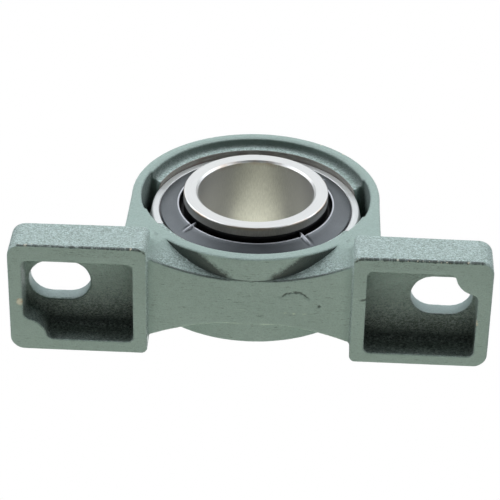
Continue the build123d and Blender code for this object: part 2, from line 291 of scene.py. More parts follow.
def paint_material():
    """Grey-green enamel over sand-cast iron; bare machined seat; chips and dark bands on edges; painted shade in the
    hollows and painted highlights on the grain.
    """
    m = Nodes("cast_paint")
    x, y, z = [m.math("MULTIPLY", c, 1000.0) for c in m.xyz()]
    ax = m.math("ABSOLUTE", x)
    zs = m.math("SUBTRACT", z, 63.5)
    r2 = m.math("ADD", m.math("MULTIPLY", x, x), m.math("MULTIPLY", zs, zs))
    sph = m.math("SQRT", m.math("ADD", r2, m.math("MULTIPLY", y, y)))
    rr = m.math("SQRT", r2)
    seat = m.math("MULTIPLY", m.math("LESS_THAN", sph, 51.38), m.math("GREATER_THAN", rr, 40.0))
    nz = m.add("ShaderNodeSeparateXYZ")
    m.link(m.add("ShaderNodeNewGeometry").outputs["Normal"], nz.inputs[0])
    nx_, ny_, nz_ = nz.outputs
    down = m.range(nz_, -0.55, -0.90)           # faces turned down: rims, underside
    front = m.range(ny_, -0.55, -0.90)          # faces turned to the front
    low = m.range(z, 14.5, 13.0)

    big = m.noise(34.0, 3.0, 0.5)
    mid = m.noise(260.0, 4.0, 0.6)
    fine = m.noise(1300.0, 3.0, 0.65)
    tone = m.ramp(m.math("ADD", m.math("MULTIPLY", big, 0.55), m.math("MULTIPLY", mid, 0.45)), [
        (0.30, (0.375, 0.500, 0.440)), (0.50, (0.415, 0.548, 0.487)), (0.72, (0.455, 0.595, 0.532))])
    # thin paint shows darker in the grain's hollows
    grain = m.range(fine, 0.30, 0.60)
    tone = m.mix(m.math("MULTIPLY", m.math("SUBTRACT", 1.0, grain), 0.28), tone, (0.175, 0.245, 0.215))
    # lengthwise streaks and small pits on the faces turned down
    streak = m.noise(1.0, 4.0, 0.65, vec=m.vec(m.math("MULTIPLY", x, 0.28), m.math("MULTIPLY", y, 1.55), m.math("MULTIPLY", z, 1.55)))
    pit = m.math("MULTIPLY", m.range(streak, 0.40, 0.31), down)
    tone = m.mix(m.math("MULTIPLY", pit, 0.62), tone, (0.110, 0.150, 0.125))
    pale = m.math("MULTIPLY", m.range(streak, 0.60, 0.72), down)
    tone = m.mix(m.math("MULTIPLY", pale, 0.30), tone, (0.62, 0.74, 0.63))

    # leathery skin of the enamel on the upright faces, with painted highlights on its crests and painted shade in its
    # hollows
    leather = m.noise(1.0, 2.5, 0.60, vec=m.vec(m.math("MULTIPLY", x, 0.98), m.math("MULTIPLY", y, 1.6), m.math("MULTIPLY", z, 1.75)), distortion=0.9)
    rim_face = m.math("MULTIPLY", front, m.math("MULTIPLY", m.range(y, -18.5, -21.8), m.range(y, -25.0, -24.0)))
    in_slot = m.math("MULTIPLY", m.math("LESS_THAN", m.math("ABSOLUTE", m.math("SUBTRACT", ax, 87.5)), 14.4), m.math("LESS_THAN", m.math("ABSOLUTE", m.math("ADD", y, 2.2)), 10.35))
    in_slot = m.math("MULTIPLY", in_slot, m.math("MULTIPLY", m.range(z, 12.2, 13.0), m.range(m.math("ABSOLUTE", nz_), 0.5, 0.3)))
    upright = m.math("MULTIPLY", m.math("SUBTRACT", 1.0, down), m.math("SUBTRACT", 1.0, m.math("MULTIPLY", m.math("MAXIMUM", rim_face, in_slot), 0.8)))
    tone = m.mix(m.math("MULTIPLY", upright, m.range(leather, 0.46, 0.32, 0.0, 0.36)), tone, (0.120, 0.175, 0.150))
    tone = m.mix(m.math("MULTIPLY", upright, m.range(leather, 0.42, 0.62, 0.0, 0.95)), tone, (0.740, 0.880, 0.850))
    # painted shade: the ring's front rim is kept darker than the feet's fronts
    tone = m.mix(m.math("MULTIPLY", rim_face, 0.30), tone, (0.175, 0.245, 0.215))
    # painted light: the walls of the feet's bolt slots are made paler
    tone = m.mix(m.math("MULTIPLY", in_slot, 0.45), tone, (0.66, 0.77, 0.79))
    # wrinkles in the paint of the feet's front rims
    wr = m.math("ABSOLUTE", m.math("SUBTRACT", m.noise(1.0, 3.0, 0.6, vec=m.vec(m.math("MULTIPLY", x, 0.20), m.math("MULTIPLY", y, 0.9), 2.0)), 0.5))
    wr = m.math("MULTIPLY", m.range(wr, 0.022, 0.006), m.math("MULTIPLY", m.range(m.math("ABSOLUTE", m.math("ADD", y, 25.2)), 2.2, 1.4), m.range(z, 0.6, 0.3)))
    wr = m.math("MULTIPLY", wr, m.math("MULTIPLY", m.range(ax, 52.0, 56.0), m.range(ax, 92.0, 84.0)))
    tone = m.mix(m.math("MULTIPLY", wr, 0.55), tone, (0.110, 0.150, 0.125))

    # painted shade in the unlit hollows: pockets of the feet, ring recess, and beside the web
    pocket = m.math("MULTIPLY", m.math("GREATER_THAN", ax, 52.4), m.math("LESS_THAN", ax, 103.6))
    pocket = m.math("MULTIPLY", pocket, m.math("MULTIPLY", m.math("GREATER_THAN", y, -21.6), m.math("LESS_THAN", y, 22.95)))
    pocket = m.math("MULTIPLY", pocket, m.math("MULTIPLY", m.range(z, 0.45, 1.0), m.range(z, 12.9, 12.6)))
    mottle = m.noise(520.0, 4.0, 0.75)
    deep = m.range(m.math("ADD", y, m.math("MULTIPLY", m.math("SUBTRACT", mottle, 0.5), 26.0)), -10.0, 13.0, 0.0, 0.86)
    deep = m.math("MULTIPLY", deep, m.range(z, 1.0, 7.0, 0.75, 1.0))
    painted_shade = m.math("MULTIPLY", pocket, deep)
    recess = m.math("MULTIPLY", m.range(y, -21.9, -20.6), m.math("MULTIPLY", m.range(rr, 50.2, 52.9), m.math("LESS_THAN", rr, 55.5)))
    recess = m.math("MULTIPLY", recess, m.math("LESS_THAN", y, 0.0))
    painted_shade = m.math("MAXIMUM", painted_shade, m.math("MULTIPLY", recess, 0.62))
    qa = m.math("ADD", y, 119.2)
    q1 = m.math("SQRT", m.math("ADD", m.math("MULTIPLY", x, x), m.math("MULTIPLY", qa, qa)))
    wall = m.math("SUBTRACT", q1, m.math("SUBTRACT", 109.34, m.math("MULTIPLY", z, 0.115)))   # 0 on the web's front face
    ahead = m.math("MULTIPLY", wall, -1.0)
    fore = m.math("LESS_THAN", y, -6.0)
    uneven = m.math("MULTIPLY", m.math("SUBTRACT", mottle, 0.5), 6.0)
    on_ring = m.math("MULTIPLY", m.range(rr, 59.2, 58.75), m.math("MULTIPLY", m.range(nz_, -0.35, -0.6), fore))
    reach = m.math("SUBTRACT", m.math("ADD", m.math("MULTIPLY", m.math("SUBTRACT", ax, 4.0), 0.44), uneven), ahead)
    beside = m.math("MULTIPLY", on_ring, m.range(reach, -1.2, 1.6))
    beside = m.math("MULTIPLY", beside, m.math("MULTIPLY", m.range(z, 27.0, 22.0), m.range(y, -22.1, -21.3)))
    beside = m.math("MULTIPLY", beside, m.math("MULTIPLY", m.math("GREATER_THAN", ahead, -0.3), m.range(ax, 7.0, 11.0)))
    on_web = m.math("MULTIPLY", m.math("MULTIPLY", m.math("LESS_THAN", m.math("ABSOLUTE", wall), 0.5), m.math("GREATER_THAN", z, 4.9)), m.math("MULTIPLY", fore, m.range(rr, 58.2, 58.6)))
    gap = m.math("SUBTRACT", rr, 58.6)
    by_crease = m.math("MULTIPLY", on_web, m.range(m.math("ADD", gap, m.math("MULTIPLY", uneven, 0.4)), 2.4, 0.0))
    by_crease = m.math("MULTIPLY", by_crease, m.range(ax, 47.0, 40.0))
    fold = m.math("MULTIPLY", m.range(m.math("ABSOLUTE", m.math("ADD", wall, m.math("MULTIPLY", uneven, 0.06))), 0.55, 0.20), m.math("MULTIPLY", m.range(z, 5.9, 5.4), fore))
    fold = m.math("MULTIPLY", fold, m.math("MULTIPLY", m.range(ax, 8.0, 11.0), m.math("MULTIPLY", m.range(ax, 46.0, 34.0, 0.35, 1.0), m.range(ax, 46.4, 46.0))))
    painted_shade = m.math("MAXIMUM", painted_shade, m.math("MAXIMUM", m.math("MULTIPLY", beside, 0.90), m.math("MULTIPLY", by_crease, 0.70)))
    painted_shade = m.math("MAXIMUM", painted_shade, m.math("MULTIPLY", fold, 0.72))
    tone = m.mix(painted_shade, tone, (0.026, 0.036, 0.030))
    # painted highlights: pale flecks on the grain in the pockets
    tone = m.mix(m.math("MULTIPLY", pocket, m.range(leather, 0.44, 0.62, 0.0, 0.60)), tone, (0.400, 0.470, 0.435))
    # painted glints on the pockets' rear walls
    glint = m.math("MULTIPLY", m.math("MULTIPLY", pocket, m.range(y, 18.0, 21.0)), m.range(m.noise(950.0, 3.0, 0.7), 0.50, 0.62))
    tone = m.mix(m.math("MULTIPLY", glint, 0.62), tone, (0.58, 0.64, 0.61))

    # dark broken band along the lower front edge of both feet, with tiny bright specks beside it
    wav = m.noise(1.0, 3.0, 0.6, vec=m.vec(m.math("MULTIPLY", x, 0.16), 3.0, 0.0))
    wav2 = m.noise(1.0, 2.0, 0.6, vec=m.vec(m.math("MULTIPLY", x, 0.9), 9.0, 0.0))
    edge_y = m.math("ADD", -28.85, m.math("ADD", m.math("MULTIPLY", wav, 1.0), m.math("MULTIPLY", wav2, 0.6)))
    turn_in = m.math("MAXIMUM", m.math("SUBTRACT", 51.5, ax), 0.0)
    edge_y = m.math("ADD", edge_y, m.math("MULTIPLY", m.math("MULTIPLY", turn_in, turn_in), 0.10))
    clump = m.noise(1.0, 3.0, 0.7, vec=m.vec(m.math("MULTIPLY", x, 0.42), 5.0, 1.0))
    half = m.range(clump, 0.36, 0.68, 0.06, 0.95)
    half = m.math("MULTIPLY", half, m.math("MAXIMUM", m.range(x, -82.0, -58.0, 0.40, 0.85), m.math("GREATER_THAN", x, 0.0)))
    dist = m.math("SUBTRACT", m.math("ABSOLUTE", m.math("SUBTRACT", y, edge_y)), half)
    ends = m.math("MULTIPLY", m.range(ax, 46.8, 47.6), m.range(ax, 106.0, 104.0))
    dark_edge_band = m.math("MULTIPLY", m.math("MULTIPLY", m.range(dist, 0.22, -0.12), ends), m.range(z, 1.5, 0.9))
    dark_edge_band = m.math("MULTIPLY", dark_edge_band, m.range(clump, 0.33, 0.50, 0.35, 1.0))
    tone = m.mix(m.math("MULTIPLY", dark_edge_band, 0.86), tone, (0.055, 0.075, 0.062))
    speck = m.voronoi(720.0)
    near = m.math("MULTIPLY", m.range(m.math("ABSOLUTE", m.math("ADD", y, 28.0)), 1.1, 0.4), m.range(z, 2.2, 0.2))
    speck = m.math("MULTIPLY", m.math("MULTIPLY", m.range(speck, 0.24, 0.14), near), m.range(big, 0.47, 0.56))

    # crease, dimple and pale streaks on the underside
    cx = m.math("SUBTRACT", x, 20.6)
    cy = m.math("ADD", -5.7, m.math("MULTIPLY", m.math("MULTIPLY", cx, cx), 0.076))
    cy = m.math("ADD", cy, m.math("MULTIPLY", m.math("SUBTRACT", m.noise(420.0, 2.0, 0.5), 0.5), 2.0))
    crease = m.math("MULTIPLY", m.range(m.math("ABSOLUTE", m.math("SUBTRACT", y, cy)), 0.75, 0.2), m.math("MULTIPLY", m.range(x, 13.8, 15.5), m.range(x, 27.6, 25.5)))
    crease = m.math("MULTIPLY", m.math("MULTIPLY", crease, down), m.range(m.noise(600.0, 2.0, 0.5), 0.36, 0.46))
    dx = m.math("SUBTRACT", x, 31.9)
    dy = m.math("SUBTRACT", y, 1.5)
    dot = m.range(m.math("SQRT", m.math("ADD", m.math("MULTIPLY", dx, dx), m.math("MULTIPLY", dy, dy))), 0.85, 0.35)
    crack = m.math("MULTIPLY", m.range(m.math("ABSOLUTE", m.math("ADD", m.math("ADD", y, 6.1), m.math("MULTIPLY", m.math("SUBTRACT", x, 51.5), 0.22))), 0.75, 0.35), m.math("MULTIPLY", m.range(x, 49.6, 51.2), m.range(x, 53.3, 52.9)))
    crease = m.math("MAXIMUM", crease, m.math("MAXIMUM", m.math("MULTIPLY", dot, down), m.math("MULTIPLY", crack, m.range(z, 0.5, 0.3))))
    tone = m.mix(m.math("MULTIPLY", crease, 0.8), tone, (0.060, 0.078, 0.066))
    worn = m.math("MULTIPLY", m.range(m.math("ABSOLUTE", m.math("SUBTRACT", y, m.math("ADD", 5.0, m.math("MULTIPLY", m.noise(260.0, 3.0, 0.6), 2.0)))), 0.6, 0.15), m.math("MULTIPLY", m.range(x, 14.0, 16.0), m.range(x, 28.0, 25.0)))
    worn = m.math("MULTIPLY", worn, m.math("MULTIPLY", down, m.range(m.noise(330.0, 2.0, 0.6), 0.45, 0.58)))
    tone = m.mix(m.math("MULTIPLY", worn, 0.6), tone, (0.72, 0.82, 0.62))

    # painted highlight: thin pale line along the underside's rear edge, on the fillet where the web meets the ring
    arc = m.math("SUBTRACT", 135.0, m.math("SQRT", m.math("SUBTRACT", 15129.0, m.math("MULTIPLY", x, x))))
    arc = m.math("MAXIMUM", arc, 12.85)
    fillet_highlight = m.math("MULTIPLY", m.range(m.math("ABSOLUTE", m.math("SUBTRACT", y, arc)), 0.55, 0.15), m.range(z, 6.6, 6.0))
    fillet_highlight = m.math("MULTIPLY", m.math("MULTIPLY", fillet_highlight, m.math("LESS_THAN", ax, 45.5)), m.math("MULTIPLY", m.range(z, 4.0, 4.4), m.range(mid, 0.36, 0.50, 0.35, 1.0)))
    fillet_highlight = m.math("MULTIPLY", fillet_highlight, m.range(m.math("ABSOLUTE", m.math("SUBTRACT", x, 1.0)), 3.5, 6.5, 0.15, 1.0))
    tone = m.mix(m.math("MULTIPLY", fillet_highlight, 0.70), tone, (0.72, 0.86, 0.70))

    # bare spots on the edges
    warp = m.math("MULTIPLY", m.math("SUBTRACT", m.noise(900.0, 3.0, 0.7), 0.5), 1.9)
    chip = None
    for cx, cy, cz, cr in CHIPS:
        d = m.add("ShaderNodeVectorMath", operation="DISTANCE")
        m.link(m.vec(x, y, z), d.inputs[0])
        d.inputs[1].default_value = (cx, cy, cz)
        c = m.range(m.math("ADD", d.outputs["Value"], warp), cr, cr * 0.55)
        chip = c if chip is None else m.math("MAXIMUM", chip, c)
    chip = m.math("MAXIMUM", chip, speck)

    # bare machined iron on the seat
    r, ang, yy = m.polar()
    turn = m.noise(1.0, 3.0, 0.6, vec=m.vec(m.math("MULTIPLY", yy, 2600.0), m.math("MULTIPLY", ang, 5.0), r))
    bare = m.ramp(turn, [(0.30, (0.230, 0.212, 0.186)), (0.52, (0.340, 0.325, 0.290)), (0.75, (0.520, 0.500, 0.455))])
    rust = m.range(m.noise(120.0, 3.0, 0.6), 0.50, 0.72)
    bare = m.mix(m.math("MULTIPLY", rust, 0.40), bare, (0.215, 0.135, 0.085))
    col = m.mix(seat, tone, bare)
    col = m.mix(m.math("MULTIPLY", chip, 0.9), col, m.ramp(m.noise(500.0, 2.0, 0.5), [(0.52, (0.86, 0.82, 0.64)), (0.70, (0.66, 0.44, 0.24))]))
    m.set(Base_Color=col)
    m.set(Metallic=m.math("MULTIPLY", seat, 0.35))
    rough = m.range(mid, 0.3, 0.7, 0.36, 0.52)
    rough = m.math("ADD", rough, m.math("MULTIPLY", seat, 0.06))
    m.set(Roughness=rough)
    m.bsdf.inputs["Specular IOR Level"].default_value = 0.5
    # sand-cast grain under the enamel: leathery on the upright faces, smoother below
    cell = m.voronoi(1150.0)
    h = m.math("ADD", m.math("MULTIPLY", mid, 0.75), m.math("ADD", m.math("MULTIPLY", fine, 0.45), m.math("MULTIPLY", cell, 0.60)))
    h = m.math("ADD", h, m.math("MULTIPLY", m.math("MULTIPLY", mottle, pocket), 2.2))
    h = m.math("ADD", h, m.math("MULTIPLY", leather, 1.9))
    amount = m.math("MULTIPLY", m.math("MAXIMUM", pocket, m.math("SUBTRACT", 1.0, m.math("MULTIPLY", down, 0.72))), m.math("SUBTRACT", 1.0, seat))
    amount = m.math("MULTIPLY", amount, m.math("SUBTRACT", 1.0, m.math("MULTIPLY", rim_face, 0.75)))
    h = m.math("MULTIPLY", h, amount)
    h = m.math("ADD", h, m.math("MULTIPLY", m.math("MULTIPLY", streak, down), 0.40))
    h = m.math("SUBTRACT", h, m.math("MULTIPLY", m.math("MAXIMUM", m.math("MAXIMUM", chip, dark_edge_band), crease), 0.45))
    h = m.math("ADD", h, m.math("MULTIPLY", m.math("MULTIPLY", turn, seat), 0.12))
    m.set(Normal=m.bump(h, 0.00050, 1.0))
    return m.mat


def ring_material(name, tint=(0.70, 0.705, 0.685), side=0.0, metallic=1.0, dull=0.0):
    """Ground bearing steel: turning marks round the faces, lengthwise honing in the bore.
    side is the radius of the outer cylinder, which gets painted shade, paler towards its sides, or 0."""
    m = Nodes(name)
    r, ang, y = m.polar()
    conc = m.noise(1.0, 3.0, 0.6, vec=m.vec(m.math("MULTIPLY", r, 5200.0), m.math("MULTIPLY", ang, 2.2), m.math("MULTIPLY", y, 5200.0)))
    hone = m.noise(1.0, 4.0, 0.62, vec=m.vec(m.math("MULTIPLY", ang, 46.0), m.math("MULTIPLY", y, 420.0), 0.0))
    cloud = m.noise(60.0, 3.0, 0.55)
    in_bore = m.range(r, 0.02752, 0.02768, 1.0, 0.0)
    base = m.mix(m.range(conc, 0.3, 0.7, 0.0, 0.35), tint, (0.60, 0.605, 0.59))
    bore_col = m.ramp(m.math("ADD", m.math("MULTIPLY", hone, 0.65), m.math("MULTIPLY", cloud, 0.35)), [
        (0.32, (0.60, 0.60, 0.53)), (0.52, (0.71, 0.71, 0.62)), (0.70, (0.80, 0.80, 0.72))])
    col = m.mix(in_bore, base, bore_col)
    # brownish stain along the bore's chamfer
    near_edge = m.math("MULTIPLY", m.range(y, -0.0236, -0.0205, 1.0, 0.0), m.range(r, 0.02745, 0.0290, 1.0, 0.0))
    patch = m.math("MULTIPLY", m.range(m.noise(85.0, 3.0, 0.6), 0.46, 0.64), m.range(m.xyz()[2], 0.070, 0.080))
    col = m.mix(m.math("MULTIPLY", m.math("MULTIPLY", near_edge, patch), 0.75), col, (0.42, 0.27, 0.14))
    # painted shade: the bore turns darker and greyer towards its sides
    ax = m.math("ABSOLUTE", m.xyz()[0])
    col = m.mix(m.math("MULTIPLY", in_bore, m.range(ax, 0.010, 0.024)), col, (0.60, 0.60, 0.615))
    if side:
        od = m.range(r, side - 0.00012, side - 0.00002)
        # painted shade: the outer cylinder is coloured darker than the faces
        od_col = m.ramp(m.math("ADD", m.math("MULTIPLY", hone, 0.5), m.math("MULTIPLY", cloud, 0.5)), [
            (0.35, (0.24, 0.23, 0.205)), (0.65, (0.40, 0.385, 0.35))])
        col = m.mix(m.math("MULTIPLY", od, 0.9), col, od_col)
        # painted light: the outer cylinder turns paler towards its sides
        col = m.mix(m.math("MULTIPLY", od, m.range(ax, 0.012, 0.032, 0.0, 0.75)), col, (0.62, 0.62, 0.60))
        # painted shadow: black band on the outside next to the flinger, where the gap lies in shade
        flinger_gap_shadow = m.math("MULTIPLY", od, m.math("MULTIPLY", m.range(y, -0.0195, -0.0191), m.range(y, -0.0125, -0.0130)))
        col = m.mix(m.math("MULTIPLY", flinger_gap_shadow, 0.96), col, (0.012, 0.012, 0.013))
        rim = m.math("MULTIPLY", m.range(m.math("ABSOLUTE", m.math("SUBTRACT", r, side - 0.0002)), 0.0004, 0.0001), m.range(y, -0.0222, -0.0229))
        col = m.mix(m.math("MULTIPLY", m.math("MULTIPLY", rim, m.range(cloud, 0.42, 0.60)), 0.7), col, (0.46, 0.32, 0.20))
    m.set(Base_Color=col)
    m.bsdf.inputs["Metallic"].default_value = metallic
    rough = m.math("ADD", m.range(conc, 0.3, 0.7, 0.33 + dull, 0.44 + dull), m.math("MULTIPLY", in_bore, 0.09))
    m.set(Roughness=rough)
    h = m.math("ADD", m.math("MULTIPLY", m.math("MULTIPLY", conc, m.math("SUBTRACT", 1.0, in_bore)), 0.6), m.math("MULTIPLY", m.math("MULTIPLY", hone, in_bore), 0.9))
    m.set(Normal=m.bump(h, 0.00004, 1.0))
    return m.mat


def flinger_material():
    m = Nodes("flinger_coat")
    r, ang, y = m.polar()
    fine = m.noise(1400.0, 3.0, 0.6)
    cloud = m.noise(70.0, 3.0, 0.5)
    col = m.ramp(m.math("ADD", m.math("MULTIPLY", cloud, 0.7), m.math("MULTIPLY", fine, 0.3)), [
        (0.35, (0.105, 0.117, 0.124)), (0.55, (0.130, 0.143, 0.150)), (0.70, (0.155, 0.169, 0.176))])
    # painted shade: the coat darkens towards the bottom
    zz = m.math("SUBTRACT", m.xyz()[2], H)
    col = m.mix(m.math("MULTIPLY", m.range(zz, -0.016, -0.041), 0.55), col, (0.045, 0.050, 0.055))
    # painted highlights along the rolled lip and on the crest of each crimp
    lip_and_crest_highlight = m.math("MULTIPLY", m.range(m.math("ABSOLUTE", m.math("SUBTRACT", r, 0.03665)), 0.00060, 0.0002), 0.95)
    crest = None
    for a in CRIMPS:
        aa = math.radians(a if a <= 180 else a - 360)
        d = m.math("MULTIPLY", m.math("ABSOLUTE", m.math("SUBTRACT", ang, aa)), r)
        c = m.range(d, 0.00110, 0.00030)
        crest = c if crest is None else m.math("MAXIMUM", crest, c)
    crest = m.math("MULTIPLY", crest, m.range(r, 0.0425, 0.0385))
    lip_and_crest_highlight = m.math("MAXIMUM", lip_and_crest_highlight, m.math("MULTIPLY", crest, 0.8))
    col = m.mix(lip_and_crest_highlight, col, (0.74, 0.76, 0.80))
    m.set(Base_Color=col)
    m.bsdf.inputs["Metallic"].default_value = 0.60
    m.set(Roughness=m.range(cloud, 0.3, 0.7, 0.32, 0.42))
    conc = m.noise(1.0, 2.0, 0.5, vec=m.vec(m.math("MULTIPLY", r, 2600.0), m.math("MULTIPLY", ang, 1.5), 0.0))
    m.set(Normal=m.bump(m.math("ADD", m.math("MULTIPLY", fine, 0.5), m.math("MULTIPLY", conc, 0.5)), 0.00005, 1.0))
    return m.mat


def simple_steel(name, dark, light, rough=(0.25, 0.4), scale=300.0, metallic=1.0, bump=0.00004):
    m = Nodes(name)
    n1 = m.noise(scale, 4.0, 0.6)
    n2 = m.noise(scale * 5, 2.0, 0.6)
    v = m.math("ADD", m.math("MULTIPLY", n1, 0.65), m.math("MULTIPLY", n2, 0.35))
    m.set(Base_Color=m.ramp(v, [(0.35, dark), (0.65, light)]))
    m.bsdf.inputs["Metallic"].default_value = metallic
    m.set(Roughness=m.range(n1, 0.3, 0.7, rough[0], rough[1]))
    m.set(Normal=m.bump(v, bump, 1.0))
    return m.mat


def rubber_material():
    m = Nodes("seal_rubber")
    n1 = m.noise(900.0, 4.0, 0.6)
    m.set(Base_Color=m.ramp(n1, [(0.3, (0.008, 0.008, 0.009)), (0.7, (0.020, 0.020, 0.021))]))
    m.set(Roughness=m.range(n1, 0.3, 0.7, 0.45, 0.65))
    m.set(Normal=m.bump(n1, 0.00004, 1.0))
    return m.mat


MAT_PAINT = paint_material()
MAT_RING = ring_material("ring_steel", tint=(0.94, 0.96, 0.94), metallic=0.35, dull=0.12)
MAT_INNER = ring_material("inner_ring_steel", tint=(0.735, 0.74, 0.72), side=0.0342)
MAT_FLINGER = flinger_material()
MAT_BALL = simple_steel("ball_chrome", (0.70, 0.70, 0.71), (0.86, 0.86, 0.87), (0.06, 0.12), 200.0, 1.0, 0.000005)
MAT_CAGE = simple_steel("cage_steel", (0.38, 0.38, 0.37), (0.58, 0.57, 0.55), (0.30, 0.45), 500.0)
MAT_CORE = simple_steel("seal_core", (0.10, 0.10, 0.105), (0.20, 0.20, 0.21), (0.38, 0.52), 500.0)
MAT_RUBBER = rubber_material()
MAT_SCREW = simple_steel("black_oxide", (0.030, 0.030, 0.033), (0.085, 0.085, 0.090), (0.28, 0.45), 700.0)
MAT_NIPPLE = simple_steel("zinc_plate", (0.48, 0.44, 0.32), (0.74, 0.71, 0.60), (0.20, 0.36), 420.0)
MAT_SPRING = simple_steel("spring_wire", (0.32, 0.32, 0.33), (0.55, 0.55, 0.56), (0.22, 0.35), 900.0)


# ============================================================ housing
VOXEL = 0.62


def cast_housing():
    src = nodes["housing"]
    me = src.data.copy()
    bm = bmesh.new()
    bm.from_mesh(me)
    bmesh.ops.remove_doubles(bm, verts=bm.verts, dist=1e-6)
    bm.to_mesh(me)
    bm.free()
    tmp = new_object("tmp_housing", me)
    give(tmp, MAT_PAINT)
    rm = tmp.modifiers.new("remesh", "REMESH")
    rm.mode = "VOXEL"
    rm.voxel_size = VOXEL * MM
    rm.adaptivity = 0.0
    sw = tmp.modifiers.new("wrap", "SHRINKWRAP")
    sw.wrap_method = "NEAREST_SURFACEPOINT"
    sw.target = src
    dg = bpy.context.evaluated_depsgraph_get()
    out = bpy.data.meshes.new_from_object(tmp.evaluated_get(dg), depsgraph=dg)
    bpy.data.objects.remove(tmp)
    bpy.data.meshes.remove(me)
    return out


me = cast_housing()
nv = len(me.vertices)
co = np.empty(nv * 3)
me.vertices.foreach_get("co", co)
co = co.reshape(-1, 3)
edges = np.empty(len(me.edges) * 2, int)
me.edges.foreach_get("vertices", edges)
edges = edges.reshape(-1, 2)
deg = np.bincount(edges.ravel(), minlength=nv).astype(float)


def relax(v, factor, mask=None):
    s = np.zeros_like(v)
    np.add.at(s, edges[:, 0], v[edges[:, 1]])
    np.add.at(s, edges[:, 1], v[edges[:, 0]])
    mean = s / deg.reshape((-1,) + (1,) * (v.ndim - 1))
    d = (mean - v) * factor
    if mask is not None:
        d *= mask[:, None]
    return v + d


x, y, z = co.T / MM
y = y - YO
zc = z - H / MM
# the web's front face leans out until it meets the ring's rim without a step
rr = np.hypot(x, zc)
wall = np.hypot(x, y + 119.2) - (109.34 - 0.115 * z)
lean = -(119.2 - np.sqrt(np.maximum((108.8 - 0.262 * (z - 4.7)) ** 2 - x * x, 1.0)))
lean = np.maximum(lean, -(22.35 - 0.85 * (z - 4.7) / 117.4))
face = (y < -6) & (np.abs(x) < 46.3) & (z > 4.95) & (z < 45)
face &= ((np.abs(wall) < 0.45) & (rr > 58.4)) | (np.abs(rr - 58.6) < 0.35)
y = np.where(face & (y > lean), lean, y)
# the loading slots run out past the shoulder at their lower ends
low = (y < -9.5) & (y > -18.4) & (rr > 47.2) & (rr < 52.9) & (zc < -13.0) & (zc > -23.5) & (np.abs(x) > 38)
push = np.clip((-9.5 - y) / 2.5, 0.0, 1.0) * np.clip((zc + 23.5) / 1.5, 0.0, 1.0)
k = np.where(low, 1.0 + push * (52.9 / rr - 1.0), 1.0)
x, zc = x * k, zc * k
z = zc + H / MM
rr = np.hypot(x, zc)
co[:, 0] = x * MM
co[:, 1] = (y + YO) * MM
co[:, 2] = z * MM
rr = np.hypot(x, zc)
sph = np.sqrt(x * x + y * y + zc * zc)
# machined seat: the sphere and the groove in it, but not the loading slots
seat = ((sph < 51.35) & (rr > 40) & (np.abs(y) < 17.85)).astype(float)
machined_edge = ((rr < 50.5) & (np.abs(y) < 18.4)).astype(float)
cast = 1.0 - machined_edge
# melt the casting's edges a little, and keep the machined ones
v = co.copy()
for k in range(2):
    v = relax(v, 0.5, cast)
co2 = v
me.vertices.foreach_set("co", co2.ravel())
me.update()
nrm = np.empty(nv * 3)
me.vertices.foreach_get("normal", nrm)
nrm = nrm.reshape(-1, 3)

# smoother paint on the base rims, the underside and the ring's front rim
flat = np.zeros(nv)
flat[(z < 0.4) & (nrm[:, 2] < -0.8)] = 1.0
flat[(np.abs(y) > 21.0) & (rr < 59.5) & (rr > 52) & (np.abs(nrm[:, 1]) > 0.8)] = 0.85
flat[(z > 3.0) & (z < 6.5) & (nrm[:, 2] < -0.85) & (np.abs(x) < 46)] = 0.35
for k in range(4):
    flat = relax(flat[:, None], 0.6)[:, 0]

# sand-cast skin: shallow lumps, always inwards
lump = np.empty(nv)
for i in range(nv):
    p = co2[i] * 1000.0
    lump[i] = (
        0.60 * noise.noise(Vector(p * 0.22))
        + 0.55 * noise.noise(Vector(p * 0.55 + 7.0))
        + 0.38 * noise.noise(Vector(p * 1.05 - 3.0))
    )
depth = (0.060 - 0.060 * lump) * (1.0 - 0.75 * flat) * cast
depth = np.clip(depth, 0.0, 0.16)
co3 = co2 - nrm * (depth * MM)[:, None]

# small casting flaws on the underside: a shallow crease and a pit
def dent(points, width, deep):
    """Pushes the skin in along a polyline of (x, y) on the underside."""
    best = np.full(nv, 1e9)
    for (ax, ay), (bx, by) in zip(points[:-1], points[1:]):
        t = ((x - ax) * (bx - ax) + (y - ay) * (by - ay)) / ((bx - ax) ** 2 + (by - ay) ** 2)
        t = np.clip(t, 0, 1)
        best = np.minimum(best, np.hypot(x - ax - t * (bx - ax), y - ay - t * (by - ay)))
    w = np.exp(-((best / width) ** 2)) * (nrm[:, 2] < -0.5) * (z < 9)
    return w * deep


co3[:, 2] += dent([(14.4, -2.9), (17.2, -4.9), (20.4, -5.7), (23.6, -5.0), (27.1, -2.5)], 0.8, 0.35) * MM
co3[:, 2] += dent([(31.8, 1.3), (32.0, 1.7)], 0.7, 0.5) * MM

me.vertices.foreach_set("co", co3.ravel())
me.name = "housing_casting"
for p in me.polygons:
    p.use_smooth = True
housing = new_object("housing_casting", me)
me.update()
give(housing, MAT_PAINT)
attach(housing, "housing")
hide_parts("housing")


